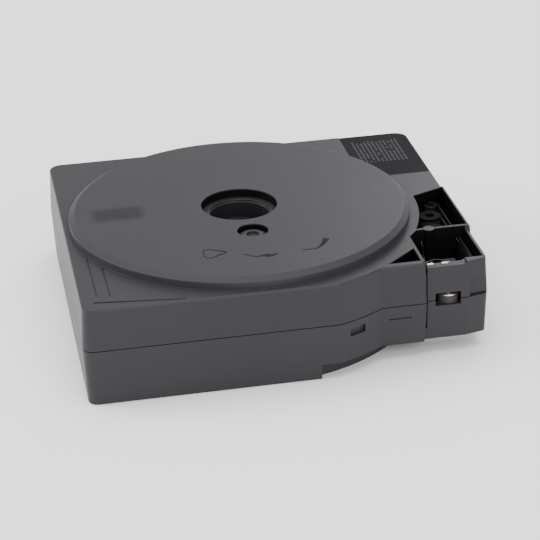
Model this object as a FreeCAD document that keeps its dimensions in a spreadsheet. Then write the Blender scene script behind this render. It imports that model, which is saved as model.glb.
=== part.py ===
import FreeCAD, Part
import math
import os
import re

import Sketcher
from FreeCAD import Vector

# A label cassette: a two-shell plastic case with a roll of label stock under a raised disc, an ink ribbon
# on two small spools, and a feed roller behind a window at the front right corner.
# Everything is drawn about the hub, the axis of the label roll, and each sub-part's Placement carries it
# to the frame: origin at the centre of the footprint on the base plane, +X right, +Y back, +Z up.

doc = FreeCAD.newDocument("label_cassette")

# ---------------------------------------------------------------- driving sizes, in millimetres
SIZES = [
    # case plan, measured from the hub at the parting plane, where both shells are widest
    ("reach_left", 40.88, "hub to left wall"),
    ("reach_right", 49.5, "hub to right wall"),
    ("reach_front", 41.23, "hub to front wall"),
    ("reach_back", 40.53, "hub to back wall"),
    ("bay_proud", 0.6, "how far the ribbon bay's wall stands out of the right wall"),
    ("proud_front", 0.85, "divider to the front end of the bay's proud wall"),
    ("proud_back", 1.15, "bay to the back end of its proud wall"),
    ("front_round", 43.75, "radius of the round stretch of the front wall"),
    ("setback_reach", 35.9, "hub to the set-back stretch of the front wall"),
    ("block_reach", 34.9, "hub to the front of the roller block"),
    ("block_left", 35.0, "hub to the left end of the roller block, the label's exit"),
    ("facet_start", 44.4, "hub to the start of the slanted facet at the right corner"),
    ("facet_reach", 33.7, "hub to the facet's back end"),
    # heights
    ("base_room", 5.43, "room between the floor and the label stock"),
    ("head_room", 3.19, "room between the label stock and the outside of the top plate"),
    ("disc_rise", 2.6, "how far the roll disc stands above the top plate"),
    ("front_lift", 3.6, "how high the underside of the front right corner lies"),
    ("block_drop", 1.0, "how far the roller block's rim lies below the top plate"),
    ("front_rim_drop", 0.6, "how far the block's front wall lies below that rim"),
    ("draft_inset", 0.5, "how far the walls lean in from the parting plane"),
    ("seam_gap", 0.22, "reveal between the shells"),
    # walls
    ("wall", 1.3, "outer wall"),
    ("floor", 1.3, "floor of the lower shell"),
    ("plate", 1.2, "top plate of the upper shell"),
    ("thin_wall", 1.0, "inner walls between the wells"),
    ("rim_wall", 0.6, "right wall of the wells at its rim"),
    ("corner_round", 2.6, "outer upright corner at the front left"),
    ("back_round", 3.4, "outer upright corners at the back"),
    ("small_round", 1.4, "outer upright corner of the roller block"),
    ("rim_round", 0.45, "top and bottom outer edges"),
    # roll chamber and disc
    ("chamber_radius", 38.3, "inside of the roll chamber"),
    ("lip_wall", 0.7, "registration lip round the chamber"),
    ("lip_rise", 0.8, "registration lip above the lower shell"),
    ("disc_radius", 39.04, "foot of the roll disc"),
    ("bevel_run", 1.4, "bevel round the roll disc, inwards"),
    ("bevel_drop", 0.9, "bevel round the roll disc, downwards"),
    ("bevel_round", 0.25, "rounding of the bevel's upper edge"),
    ("disc_skin", 0.55, "wall inside the bevel of the roll disc"),
    ("hollow_leg", 20.5, "sides of the hollows in the corners"),
    ("hub_hole", 8.75, "hub hole in both shells"),
    # rear bay, print head well, corner triangle
    ("bay_arc", 41.2, "left side of the ribbon bay"),
    ("bay_back_left", 0.45, "back of the ribbon bay at its left"),
    ("bay_back_right", 3.8, "back of the ribbon bay at its right"),
    ("divider_reach", 17.9, "hub to the divider between bay and well"),
    ("divider_wall", 0.7, "divider thickness"),
    ("divider_boss", 1.25, "round boss in the divider"),
    ("divider_boss_x", 40.1, "round boss in the divider, right of the hub"),
    ("well_left", 35.2, "left side of the print head well"),
    ("well_front", 32.4, "hub to the front of the print head well"),
    ("well_bevel", 2.9, "bevel at the well's back left corner"),
    ("bevel_slope", 0.66, "how far the bevel runs right for each step back"),
    ("triangle_left", 27.0, "left point of the corner triangle"),
    ("triangle_front", 33.7, "front of the corner triangle"),
    ("triangle_slope", 0.9, "how far the triangle climbs back for each step right"),
    # label stock
    ("label_width", 12.7, "label stock width"),
    ("label_thick", 0.24, "label stock with its liner"),
    ("roll_radius", 34.0, "label roll"),
    ("core_radius", 12.7, "label core"),
    ("core_bore", 5.95, "bore of the label core"),
    ("ledge_depth", 6.55, "disc to the ledge in the label core"),
    ("ledge_reach", 0.9, "how much wider the core is inside above its ledge"),
    ("core_play", 0.15, "end play of the label core"),
    ("core_foot", 0.4, "base to the label core's foot"),
    ("core_sunk", 2.0, "label core's top below the disc"),
    ("collar_reach", 1.0, "how much wider the core's collar is than the hub hole"),
    ("mouth_depth", 2.5, "disc to the step in the label core's mouth"),
    ("mouth_reach", 0.3, "how much wider the core's mouth is than its upper bore"),
    ("guide_drop", 1.6, "upper shell's ring round the core, below the disc's underside"),
    ("flange_past", 0.55, "how far the brake flange reaches past the pin's foot"),
    ("flange_thick", 0.7, "brake flange"),
    ("film_thick", 0.3, "spacer discs beside the roll"),
    ("film_radius", 36.8, "spacer discs beside the roll"),
    ("run_gap", 0.08, "radial clearance of running fits"),
    ("free_gap", 0.35, "clearance between parts that move past each other"),
    # brake pin
    ("pin_place_x", 0.52, "brake pin, right of the hub"),
    ("pin_clear", 0.58, "core's collar to the brake pin's guide"),
    ("pin_hole", 3.52, "hole round the brake pin"),
    ("pin_radius", 2.4, "brake pin"),
    ("pin_dimple", 1.5, "dimple in the brake pin"),
    ("dimple_depth", 0.6, "dimple in the brake pin"),
    ("pin_travel", 0.8, "brake pin travel"),
    ("brake_gap", 0.16, "gap left under the brake pin's foot when it is pressed"),
    ("foot_thick", 0.6, "brake pin's foot"),
    ("foot_reach", 0.6, "how much wider the foot is than the brake pin"),
    ("web_thick", 0.5, "web that the brake spring stands on"),
    ("collar_thick", 0.45, "brake pin's collar"),
    ("collar_drop", 0.4, "brake pin's top to its collar"),
    ("spring_rise", 0.9, "brake spring between its web and the pin's collar"),
    # ribbon
    ("ribbon_short", 0.7, "how much narrower the ink ribbon is than the label stock"),
    ("ribbon_thick", 0.12, "ink ribbon, drawn thicker than real film"),
    ("supply_x", 43.75, "ribbon supply spool, right of the hub"),
    ("supply_y", 5.0, "ribbon supply spool, in front of the hub"),
    ("supply_radius", 2.5, "wound ribbon on the supply spool"),
    ("takeup_x", 42.7, "ribbon take-up spool, right of the hub"),
    ("takeup_y", 13.3, "ribbon take-up spool, in front of the hub"),
    ("takeup_radius", 3.2, "wound ribbon on the take-up spool"),
    ("spool_core", 2.0, "ribbon spool cores"),
    ("spool_journal", 1.75, "foot of a spool core in the floor"),
    ("spool_socket", 1.1, "drive socket in a spool core"),
    ("spool_drive", 6.0, "depth of the drive socket in a spool core"),
    ("spool_gap", 0.3, "floor to the barrel of a spool core"),
    ("spool_flange", 0.6, "flange at the top of a spool core"),
    ("flange_lip", 0.1, "how far that flange stands out of the wound ribbon"),
    ("foot_sunk", 0.2, "underside to the feet of spools and feed roller"),
    ("washer_thick", 0.25, "washers under the spools"),
    ("washer_reach", 0.5, "how much wider a washer is than what it carries"),
    ("peel_x", 37.2, "peel post, right of the hub"),
    ("peel_y", 29.5, "peel post, in front of the hub"),
    ("peel_radius", 0.7, "peel post"),
    # feed roller and window
    ("feed_x", 40.85, "feed roller, right of the hub"),
    ("feed_y", 31.75, "feed roller, in front of the hub"),
    ("feed_radius", 2.3, "feed roller rubber"),
    ("feed_axle", 1.15, "feed roller axle"),
    ("feed_journal", 0.7, "upper journal of the feed roller axle"),
    ("feed_socket", 0.65, "drive socket in the feed roller axle"),
    ("feed_drive", 3.5, "depth of the drive socket in the feed roller axle"),
    ("sleeve_short", 0.3, "edges of the label to the ends of the rubber"),
    ("sleeve_gap", 0.2, "window's upper edge to the upper rubber sleeve"),
    ("rim_washer_drop", 1.4, "window's upper edge to the washer on the lower sleeve"),
    ("rim_washer_thick", 0.35, "washer on the lower sleeve"),
    ("rim_washer_short", 0.12, "how far the washer stays inside the rubber"),
    ("bracket_reach", 1.9, "bracket over the feed roller, either side of the axle"),
    ("bracket_thick", 0.55, "bracket over the feed roller"),
    ("window_left", 37.25, "window, left edge"),
    ("window_right", 43.0, "window, right edge"),
    ("window_drop", 1.48, "parting plane to the window's lower edge"),
    ("window_rise", 1.65, "parting plane to the window's upper edge"),
    ("shelf_reach", 28.7, "hub to the back of the shelf that carries the rollers"),
    ("slit_width", 0.36, "label exit slit"),
    ("slit_inset", 0.08, "roller block's left end to the slit"),
    ("slit_skin", 0.9, "front of the block to the end of the label's lane behind the slit"),
    ("exit_radius", 0.8, "rounded edge that the label turns round into the slit"),
    ("clip_inset", 0.45, "well's left side to the clip"),
    ("clip_short", 0.4, "feed roller's axis to the clip"),
    ("clip_bow", 1.65, "bow of the clip"),
    ("clip_thick", 0.25, "strip that the clip is bent from"),
    ("clip_tab", 1.5, "width of the clip's tabs, and how far they reach"),
    # guide rollers
    ("guide_radius", 1.45, "label guide rollers"),
    ("guide_pin", 0.6, "pins of the guide rollers"),
    ("guide_x", 45.6, "guide rollers, right of the hub"),
    ("rear_guide_y", 1.2, "rear guide roller, behind the hub"),
    ("front_guide_y", 30.2, "front guide roller, in front of the hub"),
    ("lane_gap", 0.3, "room beside a strip in its lane"),
    ("strip_skin", 0.05, "air between a strip and what it runs round"),
    # underside and surface marks
    ("lift_arc", 40.2, "edge of the deep part of the lower shell"),
    ("step_x", 10.4, "where the front wall steps up, right of the hub"),
    ("mark_depth", 0.28, "sunk marks and panels"),
    ("panel_arc", 41.0, "round edge of the sunk panel"),
    ("panel_left", 32.1, "sunk panel, left edge"),
    ("panel_front", 13.65, "sunk panel, front edge"),
    ("long_mark_x", 36.7, "long sunk line, left of the hub"),
    ("long_mark_front", 34.3, "long sunk line, front end"),
    ("long_mark_back", 15.3, "long sunk line, back end"),
    ("short_mark_x", 33.9, "short sunk line, left of the hub"),
    ("short_mark_front", 34.9, "short sunk line, front end"),
    ("short_mark_back", 20.3, "short sunk line, back end"),
    ("mark_width", 0.4, "width of the sunk lines"),
    ("wedge_left", 37.6, "sunk wedge, thick end"),
    ("wedge_right", 18.4, "sunk wedge, thin end"),
    ("wedge_inset", 3.73, "front wall to the sunk wedge's thick end"),
    ("wedge_lean", 2.3, "how much nearer the wall the thin end lies"),
    ("latch_left", 16.9, "latch pocket, left edge"),
    ("latch_right", 20.6, "latch pocket, right edge"),
    ("latch_drop", 3.68, "parting plane to the latch pocket's lower edge"),
    ("latch_tall", 1.9, "latch pocket"),
    ("latch_depth", 1.1, "latch pocket"),
    ("groove_left", 26.5, "groove in the set-back wall, left edge"),
    ("groove_right", 31.7, "groove in the set-back wall, right edge"),
    ("groove_drop", 3.18, "parting plane to the groove"),
    ("groove_depth", 0.5, "groove in the set-back wall"),
    ("facet_mark_left", 45.05, "recess in the facet, left edge"),
    ("facet_mark_rise", 3.8, "recess in the facet, above the parting plane"),
    ("facet_mark_depth", 0.95, "recess in the facet"),
    ("locating_hole", 1.6, "locating holes in the floor"),
    ("locating_depth", 5.0, "depth of the locating holes"),
    ("locating_x", 35.6, "locating holes, left of the hub"),
    ("locating_y", 34.8, "locating holes, before and behind the hub"),
]

sheet = doc.addObject("Spreadsheet::Sheet", "Sizes")
for row, (alias, number, note) in enumerate(SIZES, start=1):
    sheet.set(f"A{row}", alias)
    sheet.set(f"B{row}", str(number))
    sheet.set(f"C{row}", note)
    sheet.setAlias(f"B{row}", alias)
doc.recompute()

ALIASES = {alias for alias, _, _ in SIZES}

# heights and places that follow from the driving sizes
DERIVED = {
    "parting_height": "floor + base_room + label_width / 2",
    "top_height": "floor + base_room + label_width + head_room",
    "disc_top": "top_height + disc_rise",
    "block_top": "top_height - block_drop",
    "label_low": "parting_height - label_width / 2",
    "label_high": "parting_height + label_width / 2",
    "front_floor": "front_lift + plate",
    "plate_under": "top_height - plate",
    "disc_under": "disc_top - plate",
    "window_low": "parting_height - window_drop",
    "window_high": "parting_height + window_rise",
    "bracket_low": "label_high + free_gap * 1.5",
    "bracket_high": "bracket_low + bracket_thick",
    "front_rim": "block_top - front_rim_drop",
    "ribbon_low": "label_low + ribbon_short / 2",
    "ribbon_high": "label_high - ribbon_short / 2",
    "flange_high": "label_high + film_thick + flange_thick",
    "pin_place_y": "hub_hole + collar_reach + pin_clear + thin_wall + pin_hole",
    "flange_radius": "pin_place_y + pin_radius + foot_reach + flange_past",
    "foot_low": "flange_high + brake_gap + pin_travel",
    "foot_high": "foot_low + foot_thick",
    "web_low": "foot_high + run_gap",
    "web_high": "web_low + web_thick",
    "collar_low": "web_high + spring_rise",
    "collar_high": "collar_low + collar_thick",
    "pin_top": "collar_high + collar_drop",
}
SAME = 0.01  # heights closer than this are one height


def bound(text):
    """Turn an expression in plain size names into one that reads the sheet."""
    def swap(match):
        word = match.group(0)
        if word in DERIVED:
            return "(" + bound(DERIVED[word]) + ")"
        return f"Sizes.{word}" if word in ALIASES else word
    return re.sub(r"[a-z_]+", swap, str(text))


def size(text):
    """The present value of an expression in size names."""
    found = sheet.evalExpression(bound(text))
    return float(getattr(found, "Value", found))


def place(target):
    """Carry a sub-part from the hub to the frame's origin."""
    target.setExpression("Placement.Base.x", bound("(reach_left - reach_right - bay_proud) / 2"))
    target.setExpression("Placement.Base.y", bound("(reach_front - reach_back) / 2"))


PARTS = []


def new_body(name):
    """A PartDesign body that becomes one sub-part."""
    made = doc.addObject("PartDesign::Body", name)
    made.Label = name
    place(made)
    PARTS.append(made)
    return made


def new_sketch(body, name, height):
    """A sketch on the body's base plane, lifted to a height."""
    plane = next(item for item in body.Origin.OriginFeatures if item.Role == "XY_Plane")
    made = body.newObject("Sketcher::SketchObject", f"{body.Name}_{name}")
    made.AttachmentSupport = [(plane, "")]
    made.MapMode = "FlatFace"
    made.setExpression("AttachmentOffset.Base.z", bound(height))
    return made


def pin_point(sketch, element, point, across, along):
    """Hold one point of a sketch element at a place given by two expressions."""
    for kind, text in (("DistanceX", across), ("DistanceY", along)):
        index = sketch.addConstraint(Sketcher.Constraint(kind, -1, 1, element, point, size(text)))
        sketch.setExpression(f"Constraints[{index}]", bound(text))


def draw_circle(sketch, radius, across="0", along="0"):
    """A circle held by its centre and radius."""
    middle = Vector(size(across), size(along), 0)
    index = sketch.addGeometry(Part.Circle(middle, Vector(0, 0, 1), size(radius)), False)
    held = sketch.addConstraint(Sketcher.Constraint("Radius", index, size(radius)))
    sketch.setExpression(f"Constraints[{held}]", bound(radius))
    if (across, along) == ("0", "0"):
        sketch.addConstraint(Sketcher.Constraint("Coincident", index, 3, -1, 1))
    else:
        pin_point(sketch, index, 3, across, along)


def draw_outline(sketch, corners, arcs=()):
    """A closed outline of straight stretches; arcs names the stretches that are round about the hub."""
    spots = [Vector(size(across), size(along), 0) for across, along in corners]
    count, first = len(spots), sketch.GeometryCount
    starts, ends = [1] * count, [2] * count
    for index, start in enumerate(spots):
        end = spots[(index + 1) % count]
        if index not in arcs:
            sketch.addGeometry(Part.LineSegment(start, end), False)
            continue
        turns = [math.atan2(start.y, start.x), math.atan2(end.y, end.x)]
        if (turns[1] - turns[0]) % (2 * math.pi) > math.pi:
            turns.reverse()
            starts[index], ends[index] = 2, 1
        circle = Part.Circle(Vector(), Vector(0, 0, 1), start.Length)
        sketch.addGeometry(Part.ArcOfCircle(circle, *turns), False)
        sketch.addConstraint(Sketcher.Constraint("Coincident", first + index, 3, -1, 1))
    for index in range(count):
        after = (index + 1) % count
        sketch.addConstraint(Sketcher.Constraint(
            "Coincident", first + index, ends[index], first + after, starts[after]))
    for index, (across, along) in enumerate(corners):
        if (index - 1) % count not in arcs:
            pin_point(sketch, first + index, starts[index], across, along)
            continue
        # the arc's radius holds this corner already, so only its distance along Y is given
        held = sketch.addConstraint(Sketcher.Constraint(
            "DistanceY", -1, 1, first + index, starts[index], size(along)))
        sketch.setExpression(f"Constraints[{held}]", bound(along))


def round_corner(sketch, element, radius):
    """Round the corner where an outline's element starts."""
    sketch.fillet(element, 1, size(radius), True, True)
    arc = next(index for index in range(sketch.GeometryCount - 1, -1, -1)
               if sketch.Geometry[index].TypeId == "Part::GeomArcOfCircle")
    held = sketch.addConstraint(Sketcher.Constraint("Radius", arc, size(radius)))
    sketch.setExpression(f"Constraints[{held}]", bound(radius))


def pad(body, sketch, length, down=False, lean=None):
    """Raise a sketch into the body, with walls that lean in by a given inset."""
    made = body.newObject("PartDesign::Pad", f"{sketch.Name}_pad")
    made.Profile = sketch
    made.setExpression("Length", bound(length))
    made.Reversed = down
    if lean:
        made.setExpression("TaperAngle", f"-atan(({bound(lean)}) / ({bound(length)}))")
    return made


def cut(body, sketch, length):
    """Cut a sketch out of the body, upwards."""
    made = body.newObject("PartDesign::Pocket", f"{sketch.Name}_cut")
    made.Profile = sketch
    made.setExpression("Length", bound(length))
    made.Reversed = True
    return made


def cut_circle(body, name, low, high, radius, across="0", along="0"):
    """A round hole or pocket between two heights."""
    sketch = new_sketch(body, name, low)
    draw_circle(sketch, radius, across, along)
    return cut(body, sketch, f"({high}) - ({low})")


def cut_outline(body, name, low, high, corners, arcs=()):
    """A pocket of a given outline between two heights."""
    sketch = new_sketch(body, name, low)
    draw_outline(sketch, corners, arcs)
    return cut(body, sketch, f"({high}) - ({low})")


def pad_circle(body, name, low, high, radius, across="0", along="0"):
    """A round post between two heights."""
    sketch = new_sketch(body, name, low)
    draw_circle(sketch, radius, across, along)
    return pad(body, sketch, f"({high}) - ({low})")


def pad_outline(body, name, low, high, corners, arcs=()):
    """A block of a given outline between two heights."""
    sketch = new_sketch(body, name, low)
    draw_outline(sketch, corners, arcs)
    return pad(body, sketch, f"({high}) - ({low})")


def ring(name, low, high, outer, inner, across="0", along="0"):
    """A body that is one plain ring."""
    body = new_body(name)
    sketch = new_sketch(body, "ring", low)
    draw_circle(sketch, outer, across, along)
    draw_circle(sketch, inner, across, along)
    pad(body, sketch, f"({high}) - ({low})")
    return body


def rectangle(left, right, front, back):
    """The corners of a rectangle, front given and counted along +Y."""
    return [(left, front), (right, front), (right, back), (left, back)]


def round_edges(body, base, name, radius, wanted):
    """Round the edges of a feature that a test picks."""
    doc.recompute()
    picked = [f"Edge{index}" for index, edge in enumerate(base.Shape.Edges, start=1) if wanted(edge)]
    made = body.newObject("PartDesign::Fillet", f"{body.Name}_{name}")
    made.Base = (base, picked)
    made.setExpression("Radius", bound(radius))
    return made


# ---------------------------------------------------------------- case outline
ROUND_START = "sqrt(front_round ^ 2 - reach_front ^ 2)"
ROUND_END = "sqrt(front_round ^ 2 - setback_reach ^ 2)"
BAY_FRONT = "-(divider_reach + proud_front)"
BAY_BACK = "bay_back_right + proud_back"
OUTLINE = [
    ("-reach_left", "-reach_front"),
    (ROUND_START, "-reach_front"),
    (ROUND_END, "-setback_reach"),
    ("block_left", "-setback_reach"),
    ("block_left", "-block_reach"),
    ("facet_start", "-block_reach"),
    ("reach_right", "-facet_reach"),
    ("reach_right", BAY_FRONT),
    ("reach_right + bay_proud", BAY_FRONT),
    ("reach_right + bay_proud", BAY_BACK),
    ("reach_right", BAY_BACK),
    ("reach_right", "reach_back"),
    ("-reach_left", "reach_back"),
]
OUTLINE_ARCS = (1,)
OUTLINE_ROUNDS = {0: "corner_round", 6: "small_round", 11: "back_round", 12: "back_round"}

WELL = [
    ("well_left + well_bevel * bevel_slope", "-(divider_reach + divider_wall / 2)"),
    ("well_left", "-(divider_reach + divider_wall / 2 + well_bevel)"),
    ("well_left", "-well_front"),
    ("reach_right - draft_inset - rim_wall", "-well_front"),
    ("reach_right - draft_inset - rim_wall", "-(divider_reach + divider_wall / 2)"),
]
RIM = [
    ("well_left - rim_wall / 2", "-(reach_front + wall)"),
    ("reach_right + wall", "-(reach_front + wall)"),
    ("reach_right + wall", "-(divider_reach + divider_wall / 2)"),
    ("well_left + well_bevel * bevel_slope", "-(divider_reach + divider_wall / 2)"),
    ("well_left - rim_wall / 2", "-(divider_reach + divider_wall / 2 + well_bevel)"),
]
BAY = [
    ("sqrt(bay_arc ^ 2 - (divider_reach - divider_wall / 2) ^ 2)", "-(divider_reach - divider_wall / 2)"),
    ("reach_right + bay_proud - draft_inset - rim_wall", "-(divider_reach - divider_wall / 2)"),
    ("reach_right + bay_proud - draft_inset - rim_wall", "bay_back_right"),
    ("sqrt(bay_arc ^ 2 - bay_back_left ^ 2)", "bay_back_left"),
]
BAY_ARCS = (3,)
TRIANGLE = [
    ("triangle_left", "-triangle_front"),
    ("well_left - thin_wall", "-triangle_front"),
    ("well_left - thin_wall",
     "-(triangle_front - (well_left - thin_wall - triangle_left) * triangle_slope)"),
]
PANEL = [
    ("panel_left", "reach_back + wall"),
    ("panel_left", "sqrt(panel_arc ^ 2 - panel_left ^ 2)"),
    ("sqrt(panel_arc ^ 2 - panel_front ^ 2)", "panel_front"),
    ("reach_right + wall", "panel_front"),
    ("reach_right + wall", "reach_back + wall"),
]
LIFTED = [
    ("step_x", "-(reach_front + wall)"),
    ("reach_right + bay_proud + wall", "-(reach_front + wall)"),
    ("reach_right + bay_proud + wall", "bay_back_right + wall"),
    ("sqrt(lift_arc ^ 2 - (bay_back_right + wall) ^ 2)", "bay_back_right + wall"),
    ("step_x", "-sqrt(lift_arc ^ 2 - step_x ^ 2)"),
]
HOLLOWS = {"front_left": (-1, -1), "back_left": (-1, 1), "back_right": (1, 1)}


def corner_hollow(toward_x, toward_y):
    """A triangular hollow in a corner of the case, clear of the roll chamber."""
    edge_x = "(reach_left - wall - draft_inset)" if toward_x < 0 else "(reach_right - wall - draft_inset)"
    edge_y = "(reach_front - wall - draft_inset)" if toward_y < 0 else "(reach_back - wall - draft_inset)"
    return [
        (f"{toward_x} * {edge_x}", f"{toward_y} * {edge_y}"),
        (f"{toward_x} * ({edge_x} - hollow_leg)", f"{toward_y} * {edge_y}"),
        (f"{toward_x} * {edge_x}", f"{toward_y} * ({edge_y} - hollow_leg)"),
    ]


def shell_base(body, upper):
    """The solid block of one shell, leaning in from the parting plane, with rounded upright corners."""
    level = "parting_height + seam_gap / 2" if upper else "parting_height - seam_gap / 2"
    reach = "top_height - parting_height - seam_gap / 2" if upper else level
    sketch = new_sketch(body, "outline", level)
    draw_outline(sketch, OUTLINE, OUTLINE_ARCS)
    for index, radius in OUTLINE_ROUNDS.items():
        round_corner(sketch, index, radius)
    block = pad(body, sketch, reach, down=not upper, lean="draft_inset")
    outer_level = size("top_height" if upper else "0")
    return round_edges(body, block, "rim", "rim_round",
                       lambda edge: abs(edge.BoundBox.ZMin - outer_level) < SAME
                       and edge.BoundBox.ZLength < SAME)


def strip_path(wheels, start, finish):
    """Straight runs and arcs that a strip follows round wheels.

    Each wheel is centre x, centre y, radius and side: +1 when the wheel lies left of the travel.
    start and finish are plain points, or None where the first or last wheel is only touched.
    """
    stations = [(*start, 0.0, 1)] if start else []
    stations += wheels
    stations += [(*finish, 0.0, 1)] if finish else []
    touches = []
    for (ax, ay, ar, aside), (bx, by, br, bside) in zip(stations, stations[1:]):
        gap = Vector(bx - ax, by - ay, 0)
        lean = math.asin((bside * br - aside * ar) / gap.Length)
        heading = math.atan2(gap.y, gap.x) - lean
        left = Vector(-math.sin(heading), math.cos(heading), 0)
        leaves, meets = Vector(ax, ay, 0) - left * aside * ar, Vector(bx, by, 0) - left * bside * br
        touches.append((leaves, meets, heading))
    return stations, touches


def strip_solid(stations, touches, low, tall, thick):
    """The closed solid of a strip that follows a path."""
    up = Vector(0, 0, low)

    def side(offset):
        edges = []
        for index, (begin, end, heading) in enumerate(touches):
            left = Vector(-math.sin(heading), math.cos(heading), 0) * offset
            edges.append(Part.LineSegment(begin + left + up, end + left + up))
            if index + 1 < len(touches) and stations[index + 1][2] > 0:
                cx, cy, radius, hand = stations[index + 1]
                after = touches[index + 1][2]
                turn = (after - heading + math.pi) % (2 * math.pi) - math.pi
                middle = heading + turn / 2
                spoke = radius - hand * offset

                def rim(way):
                    return Vector(cx, cy, low) - Vector(-math.sin(way), math.cos(way), 0) * hand * spoke

                edges.append(Part.Arc(rim(heading), rim(middle), rim(after)))
        return edges
    inner, outer = side(-thick / 2), side(thick / 2)
    ends = [Part.LineSegment(inner[-1].EndPoint, outer[-1].EndPoint),
            Part.LineSegment(outer[0].StartPoint, inner[0].StartPoint)]
    wire = Part.Wire(Part.__sortEdges__([edge.toShape() for edge in inner + outer + ends]))
    return Part.Face(wire).extrude(Vector(0, 0, tall))


def strip_part(name, solid):
    """A sub-part whose shape is a strip."""
    made = doc.addObject("Part::Feature", name)
    made.Label = name
    made.Shape = solid
    place(made)
    PARTS.append(made)
    return made


# ---------------------------------------------------------------- label and ribbon routes
def label_route(end):
    """The label's way from the roll, round both guide rollers and the feed roller, into the slit."""
    half, ribbon, skin = size("label_thick") / 2, size("ribbon_thick"), size("strip_skin")
    slit = size("block_left + slit_inset + slit_width / 2")
    guide = size("guide_radius") + ribbon + 3 * skin + half
    wheels = [
        (0.0, 0.0, size("roll_radius") + 2 * skin + half, -1),
        (size("guide_x"), size("rear_guide_y"), guide, -1),
        (size("guide_x"), -size("front_guide_y"), guide, -1),
        (size("feed_x"), -size("feed_y"), size("feed_radius") + skin + half, 1),
        (slit + size("exit_radius"), -size("well_front"), size("exit_radius"), 1),
    ]
    return strip_path(wheels, None, (slit, -size("block_reach") + end))


def ribbon_route():
    """The ribbon's way from its supply, inside the label, round the peel post to the take-up spool."""
    half, label, skin = size("ribbon_thick") / 2, size("label_thick"), size("strip_skin")
    wheels = [
        (size("supply_x"), -size("supply_y"), size("supply_radius") + skin + half, -1),
        (size("guide_x"), -size("front_guide_y"), size("guide_radius") + skin + half, -1),
        (size("feed_x"), -size("feed_y"), size("feed_radius") + label + 3 * skin + half, 1),
        (size("peel_x"), -size("peel_y"), size("peel_radius") + skin + half, -1),
        (size("takeup_x"), -size("takeup_y"), size("takeup_radius") + skin + half, -1),
    ]
    return strip_path(wheels, None, None)


def lane(name, route, thick, low, high):
    """The room that a strip needs on its way, as a tool that is cut out of both shells."""
    made = doc.addObject("Part::Feature", name)
    made.Shape = strip_solid(*route, size(low), size(high) - size(low), size(thick) + 2 * size("lane_gap"))
    place(made)
    return made


LANE_HEIGHTS = "label_low - free_gap", "label_high + free_gap"
LABEL_LANE = lane("label_lane", label_route(size("slit_skin")), "label_thick", *LANE_HEIGHTS)
RIBBON_LANE = lane("ribbon_lane", ribbon_route(), "ribbon_thick", *LANE_HEIGHTS)


def finish_shell(name, body):
    """A shell with the strips' lanes cut out of it."""
    PARTS.remove(body)
    solid = body
    for index, tool in enumerate((LABEL_LANE, RIBBON_LANE)):
        made = doc.addObject("Part::Cut", f"{name}_{index}")
        made.Base, made.Tool = solid, tool
        solid = made
    solid.Label = name
    PARTS.append(solid)


# ---------------------------------------------------------------- shells
FEED = ("feed_x", "-feed_y")
SUPPLY = ("supply_x", "-supply_y")
TAKEUP = ("takeup_x", "-takeup_y")
REAR_GUIDE = ("guide_x", "rear_guide_y")
FRONT_GUIDE = ("guide_x", "-front_guide_y")
PEEL = ("peel_x", "-peel_y")
BRAKE = ("pin_place_x", "-pin_place_y")


def shared_cuts(body, low, high, open_low, open_high):
    """The hollows that both shells share: low and high bound the closed ones, the open ones run past."""
    for corner, sides in HOLLOWS.items():
        cut_outline(body, f"hollow_{corner}", low, high, corner_hollow(*sides))
    cut_outline(body, "bay", open_low, open_high, BAY, BAY_ARCS)
    cut_outline(body, "well", open_low, open_high, WELL)
    cut_outline(body, "triangle", open_low, open_high, TRIANGLE)
    cut_circle(body, "feed_room", open_low, "bracket_low", "feed_radius + run_gap * 2", *FEED)
    cut_circle(body, "guide_room", open_low, "label_high + free_gap * 2", "guide_radius + lane_gap * 2",
               *REAR_GUIDE)
    slit = rectangle("block_left + slit_inset", "block_left + slit_inset + slit_width",
                     "-(block_reach + wall)", "-(well_front - wall)")
    slit_low = "label_low - free_gap" if open_low == "front_floor" else open_low
    cut_outline(body, "slit", slit_low, open_high, slit)


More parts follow.
